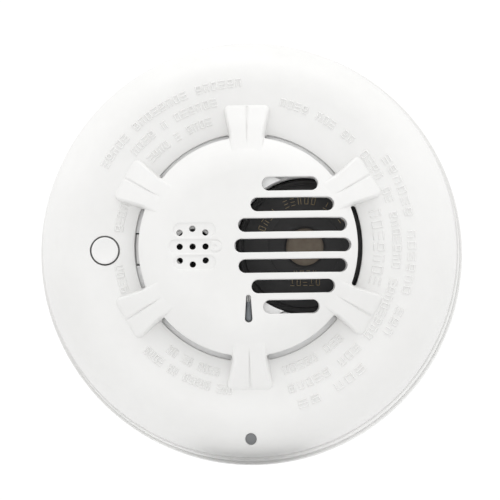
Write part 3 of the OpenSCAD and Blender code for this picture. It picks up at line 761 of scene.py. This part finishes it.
# test button: a dished cap on a lever with two ribs, its trunnions and the post to the switch
top = CREST - DISH * ((RC - BUTTON_X) / (RC - RING_IN)) ** 1.3 + 0.4
cap_prof = [(0, top - 0.4)] + [(r, top - 0.4 * (1 - (r / 4.0) ** 2)) for r in np.linspace(0.4, 4.0, 10)]
cap_prof += [(4.0 + 0.5 * math.sin(q), top - 0.35 + 0.35 * math.cos(q)) for q in np.linspace(0.15, math.pi / 2, 7)] + [(4.5, 41.0), (0, 41.0)]
pad = []
for i in range(13):
    t = math.radians(180 + 7.6 * (i / 6 - 1))
    pad.append([(q * math.cos(t), q * math.sin(t)) for q in (36.2, RING_IN - 0.4)])
pad_v, pad_f = [], []
for lo_, hi_ in pad:
    pad_v += [(*lo_, 41.0), (*hi_, 41.0), (*hi_, RIM_Z - 0.12), (hi_[0] * 0.9965, hi_[1] * 0.9965, RIM_Z),
              (lo_[0] * 1.0035, lo_[1] * 1.0035, RIM_Z), (*lo_, RIM_Z - 0.12)]
for i in range(12):
    for k in range(6):
        pad_f.append((6 * i + k, 6 * i + (k + 1) % 6, 6 * i + 6 + (k + 1) % 6, 6 * i + 6 + k))
pad_f += [tuple(range(6))[::-1], tuple(range(72, 78))]
bparts = [lathe(cap_prof[::-1], -BUTTON_X, BUTTON_Y, 96), rbox(-54, -28.6, -5.1, 5.1, 39.6, 41.2, 0.35), (pad_v, pad_f),
          rbox(-53, -31, 3.0, 4.2, 38.0, 40.1, 0.25), rbox(-53, -31, -4.2, -3.0, 38.0, 40.1, 0.25),
          turn(lathe(fillet([(0, -7.9), (1.2, -7.9), (1.2, 7.9), (0, 7.9)], [0, 0.3, 0.3, 0]), 0, 0, 40), "y", (-30, 0, 40.4)),
          lathe(fillet([(0, 27.9), (1.8, 27.9), (2.1, 39.7), (0, 39.7)], [0, 0.4, 0, 0]), -BUTTON_X, 0, 40)]
bv_, bf_ = join(bparts)
button = soft_edges(make("button_and_lever", bv_, bf_, "button", MATS["button_plastic"]))
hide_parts("test_button")

# horn: a turned housing with a stepped rim, a groove and a round port, on three legs
hx, hy = 18.8, 0.2
hp = [(0, 28.3), (22.6, 28.3), (23, 28.7), (23, 38.4), (22.7, 38.6), (22.7, 39.5), (22.2, 40), (21.55, 40), (21.3, 39.55), (20.7, 39.55),
      (20.45, 40), (12.6, 40), (12.4, 39.9), (12.1, 39.9), (11.9, 40), (7.6, 40), (6.9, 39.75), (6.3, 39.1), (6.3, 38), (19.6, 38), (19.6, 36.7), (18.6, 36.7), (18.6, 29.8), (0, 29.8)]
hr = [0, .3, .15, .1, .1, .1, .3, .1, .1, .1, .1, .05, .05, .05, .05, .3, .3, .2, 0, 0, 0, 0, 0, 0]
hparts = [lathe(fillet(hp, hr, 3), hx, hy, 176)]
for px, py in ((36.8, 0.2), (29, 16), (29, -16)):
    hparts.append(lathe(fillet([(0, 21.6), (1.6, 21.6), (1.6, 28.7), (0, 28.7)], [0, .3, 0, 0]), px, py, 32))
hv_, hf_ = join(hparts)
horn = soft_edges(make("horn_shell", hv_, hf_, "head", MATS["black_plastic"]))
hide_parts("horn_housing")

# a pale sealing ring just inside the seam between the cover and the rear housing
rv_, rf_ = lathe([(66.6, 22.03), (69.2, 22.03), (69.3, 22.1), (69.2, 22.17), (66.6, 22.17)], 0, 0, 240)
soft_edges(make("seam_ring", np.array(rv_), rf_, "head", MATS["cover_plastic"]))

# printed marks on the face of the horn: small plain signs, no words
SIGNS = [
    [(0.1, 0, 0.1, 1), (0.9, 0, 0.9, 1), (0.1, 0, 0.9, 0), (0.1, 1, 0.9, 1)],
    [(0.2, 0, 0.2, 1), (0.8, 0, 0.8, 1)],
    [(0.05, 0, 0.95, 0), (0.05, 0.5, 0.95, 0.5), (0.05, 1, 0.95, 1)],
    [(0.1, 0.4, 0.1, 1), (0.9, 0.4, 0.9, 1), (0.1, 0.4, 0.9, 0.4), (0.1, 1, 0.9, 1), (0.1, 0, 0.9, 0)],
    [(0.05, 0, 0.95, 0), (0.5, 0.38, 0.5, 1)],
    [(0.15, 0, 0.15, 0.62), (0.85, 0, 0.85, 0.62), (0.15, 1, 0.85, 1)],
]


def strip(p, q, w, z0, z1, V, F):
    p, q = np.array(p, float), np.array(q, float)
    t = (q - p) / np.linalg.norm(q - p)
    nrm = np.array([-t[1], t[0]]) * w
    p, q = p - t * w * 0.9, q + t * w * 0.9
    n = len(V)
    for z, k in ((z0, 1.0), (z1, 0.86)):
        V += [(*(p - nrm * k), z), (*(q - nrm * k), z), (*(q + nrm * k), z), (*(p + nrm * k), z)]
    F += [(n + 3, n + 2, n + 1, n), (n + 4, n + 5, n + 6, n + 7)]
    F += [(n + i, n + (i + 1) % 4, n + 4 + (i + 1) % 4, n + 4 + i) for i in range(4)]


pv, pf = [], []
for k in range(15):
    a = math.radians(156 - 8.6 * k)
    if k in (4, 10):
        continue
    c_, s_ = math.cos(a), math.sin(a)
    for x0, y0, x1, y1 in SIGNS[(k * 5 + k // 3) % 6]:
        ends = []
        for gx, gy in ((x0, y0), (x1, y1)):
            u_, w_ = (gx - 0.5) * 1.4, 15.6 + (gy - 0.5) * 2.3
            ends.append((18.8 + w_ * c_ + u_ * s_, 0.2 + w_ * s_ - u_ * c_))
        strip(*ends, 0.13, 39.95, 40.03, pv, pf)
for row, (yy, count) in enumerate(((-9.0, 4), (-11.8, 5))):
    for k in range(count):
        for x0, y0, x1, y1 in SIGNS[(k * 2 + row * 3 + 1) % 6]:
            gx = 18.8 + (k - (count - 1) / 2) * 2.15
            strip((gx + (x0 - 0.5) * 1.4, yy + (y0 - 0.5) * 2.1), (gx + (x1 - 0.5) * 1.4, yy + (y1 - 0.5) * 2.1), 0.13, 39.95, 40.03, pv, pf)
make("horn_print", np.array(pv), pf, "head", MATS["ochre_ink"])

# ---------------------------------------------------------------- plain raised bars where the legends are
def bar_patch(path, half, high, out_v, out_f):
    """A raised bar with round ends along a path of plan points."""
    p = np.array(path, float)
    n = len(p)
    tan = np.gradient(p, axis=0)
    tan /= np.linalg.norm(tan, axis=1, keepdims=True)
    nor = np.stack([-tan[:, 1], tan[:, 0]], -1)
    ends = 7
    prof_d = [(0.0, -0.1), (0.0, 0.0), (0.16 * half, 0.45), (0.42 * half, 0.82), (0.7 * half, 0.98), (half * 0.98, 1.0)]
    first = len(out_v)
    count = 0
    for d, h in prof_d:
        w = half - d
        ring = [p[i] - nor[i] * w for i in range(n)]
        a0 = math.atan2(-nor[-1][1], -nor[-1][0])
        ring += [p[-1] + w * np.array([math.cos(a0 + math.pi * k / ends), math.sin(a0 + math.pi * k / ends)]) for k in range(1, ends)]
        ring += [p[i] + nor[i] * w for i in reversed(range(n))]
        a0 = math.atan2(nor[0][1], nor[0][0])
        ring += [p[0] + w * np.array([math.cos(a0 + math.pi * k / ends), math.sin(a0 + math.pi * k / ends)]) for k in range(1, ends)]
        ring = np.array(ring)
        count = len(ring)
        z = prof(s_of(np.hypot(ring[:, 0], ring[:, 1])))[1] + h * high
        out_v += [(float(x), float(y), float(q)) for (x, y), q in zip(ring, z)]
    for k in range(len(prof_d) - 1):
        for i in range(count):
            j = (i + 1) % count
            out_f.append((first + k * count + i, first + k * count + j, first + (k + 1) * count + j, first + (k + 1) * count + i))
    last = first + (len(prof_d) - 1) * count
    top = [last + i for i in range(count)]
    # close the thin ridge left at the top
    m = n
    for i in range(m - 1):
        a, b = top[i], top[i + 1]
        c, d = top[(m + ends - 1) + (m - 2 - i)], top[(m + ends - 1) + (m - 1 - i)]
        out_f.append((a, b, c, d))


def arc_row(r, a0, a1, words, high, out_v, out_f):
    """A row of small plain signs along an arc, in groups, between a0 and a1 (degrees)."""
    total = sum(words) + (len(words) - 1) * 1.0 - 0.35
    per = (a1 - a0) / total
    a, k = a0, int(r * 1.7) + len(words)
    for n in words:
        for m in range(n):
            k += 1 + (k % 3 == 0)
            for x0, y0, x1, y1 in SIGNS[k % len(SIGNS)]:
                pts = []
                for i in range(6):
                    t = math.radians(a + per * (m + 0.7 * (x0 + (x1 - x0) * i / 5)))
                    q = r + (high - 0.5) * (y0 + (y1 - y0) * i / 5 - 0.5)
                    pts.append((q * math.cos(t), q * math.sin(t)))
                bar_patch(pts, 0.27, 0.42, out_v, out_f)
        a += per * (n + 1.0)


mv, mf = [], []
ROWS = [
    (55.5, 150, 92, (5, 8, 6), 2.9), (50.0, 140, 102, (4, 1, 6), 2.9), (44.3, 138, 106, (4, 1, 4), 2.9),
    (50.0, 77, 45, (4, 3, 2), 2.9),
    (44.0, 16, -17, (7,), 3.8), (50.0, 39, -38, (4, 2, 7, 8), 2.9), (55.0, 33, -33, (6, 6, 3), 2.9),
    (43.2, -75, -45, (5, 3), 2.9), (49.7, -75, -43, (5, 3), 2.9), (55.7, -73, -47, (2, 3), 2.9),
    (43.4, -129, -104, (2, 2, 4), 2.9), (48.6, -136, -97, (4, 2, 5, 3), 2.9),
]
for row in ROWS:
    arc_row(*row, mv, mf)
arc_row(44.0, 160, 172, (4,), 2.9, mv, mf)
arc_row(44.0, 187, 199, (4,), 2.9, mv, mf)
marks = make("cover_marks", np.array(mv), mf, "head", MATS["cover_plastic"])

# ---------------------------------------------------------------- stage, light, camera
fl = bpy.data.meshes.new("floor")
fl.from_pydata([(-3, -3, -0.26), (3, -3, -0.26), (3, 3, -0.26), (-3, 3, -0.26)], [], [(0, 1, 2, 3)])
floor = bpy.data.objects.new("floor", fl)
bpy.context.scene.collection.objects.link(floor)
fm, fnt, fb = nodes_of("floor_pale")
fb.inputs["Base Color"].default_value = (0.86, 0.86, 0.86, 1)
fb.inputs["Roughness"].default_value = 0.9
fl.materials.append(fm)
# a grey card just under the part, out of the camera's sight, that darkens its underside
cd = bpy.data.meshes.new("card")
cd.from_pydata([(-0.022, -0.044, -0.08), (0.022, -0.044, -0.08), (0.022, 0.0, -0.08), (-0.022, 0.0, -0.08)], [], [(0, 1, 2, 3)])
card = bpy.data.objects.new("card", cd)
bpy.context.scene.collection.objects.link(card)
cm, cnt_, cb = nodes_of("card_grey")
cb.inputs["Base Color"].default_value = (0.62, 0.62, 0.62, 1)
cb.inputs["Roughness"].default_value = 0.9
cd.materials.append(cm)
card.visible_camera = False

sc = bpy.context.scene
sc.view_settings.view_transform = "Standard"
sc.view_settings.look = "None"
w = bpy.data.worlds.new("studio") if sc.world is None else sc.world
sc.world = w
w.use_nodes = True
nt = w.node_tree
bg = nt.nodes.get("Background") or nt.nodes.new("ShaderNodeBackground")
out = nt.nodes.get("World Output") or nt.nodes.new("ShaderNodeOutputWorld")
bg.inputs["Color"].default_value = (1, 1, 1, 1)
wt = nt.nodes.new("ShaderNodeTexCoord")
ws = nt.nodes.new("ShaderNodeSeparateXYZ")
nt.links.new(wt.outputs["Generated"], ws.inputs["Vector"])
wr = span(nt, ws.outputs["Z"], -0.8, 0.0, 0.98, 1.12)
wf = span(nt, ws.outputs["Y"], -1.0, -0.35, 0.86, 1.07)
wt_ = span(nt, ws.outputs["Z"], 0.45, 1.0, 1.0, 0.8)
wa = nt.nodes.new("ShaderNodeMath")
wa.operation = "MULTIPLY"
nt.links.new(wr.outputs["Result"], wa.inputs[0])
nt.links.new(wt_.outputs["Result"], wa.inputs[1])
wb = span(nt, ws.outputs["Y"], 0.3, 1.0, 1.0, 0.78)
wc = nt.nodes.new("ShaderNodeMath")
wc.operation = "MULTIPLY"
nt.links.new(wa.outputs["Value"], wc.inputs[0])
nt.links.new(wb.outputs["Result"], wc.inputs[1])
wm = nt.nodes.new("ShaderNodeMath")
wm.operation = "MULTIPLY"
nt.links.new(wc.outputs["Value"], wm.inputs[0])
nt.links.new(wf.outputs["Result"], wm.inputs[1])
nt.links.new(wm.outputs["Value"], bg.inputs["Strength"])
bg2 = nt.nodes.new("ShaderNodeBackground")
bg2.inputs["Color"].default_value = (1, 1, 1, 1)
bg2.inputs["Strength"].default_value = 1.05
lp = nt.nodes.new("ShaderNodeLightPath")
mx = nt.nodes.new("ShaderNodeMixShader")
nt.links.new(lp.outputs["Is Camera Ray"], mx.inputs["Fac"])
nt.links.new(bg.outputs["Background"], mx.inputs[1])
nt.links.new(bg2.outputs["Background"], mx.inputs[2])
nt.links.new(mx.outputs["Shader"], out.inputs["Surface"])


def area(name, loc, target, size, power, size_y=None):
    l = bpy.data.lights.new(name, "AREA")
    l.shape = "RECTANGLE"
    l.size, l.size_y = size, size_y or size
    l.energy = power
    o = bpy.data.objects.new(name, l)
    o.location = loc
    o.rotation_euler = (Vector(target) - Vector(loc)).to_track_quat("-Z", "Y").to_euler()
    sc.collection.objects.link(o)
    return o


area("key_top", (0.0, -0.42, 1.2), (0, 0, 0), 1.2, 3.5, 0.7)
area("front_fill", (0.25, -1.5, -0.1), (0, 0, 0), 1.0, 0.3)

AZ, EL, ROLL, DIST = math.radians(1.55), math.radians(-3.5), math.radians(0.7), 8.0
PX = 0.3378e-3
cam_data = bpy.data.cameras.new("camera")
cam_data.sensor_width = 36.0
cam_data.lens = 36.0 * DIST / (500 * PX)
cam = bpy.data.objects.new("camera", cam_data)
sc.collection.objects.link(cam)
back = Vector((math.sin(AZ) * math.cos(EL), -math.cos(AZ) * math.cos(EL), math.sin(EL)))
right = Vector((math.cos(AZ), math.sin(AZ), 0))
up = right.cross(-back).normalized()
up = back.cross(right).normalized()
right_r = right * math.cos(ROLL) - up * math.sin(ROLL)
up_r = up * math.cos(ROLL) + right * math.sin(ROLL)
# the base's centre, 4 mm off the wall, lands at pixel (251.8, 254.6)
anchor = Vector((0, -0.004, 0))
target = anchor - right_r * (1.8 * PX) + up_r * (4.6 * PX)
rot = Matrix((right_r, up_r, back)).transposed()
cam.matrix_world = Matrix.Translation(target + back * DIST) @ rot.to_4x4()
cam_data.clip_end = 40
sc.camera = cam

bpy.context.view_layer.update()
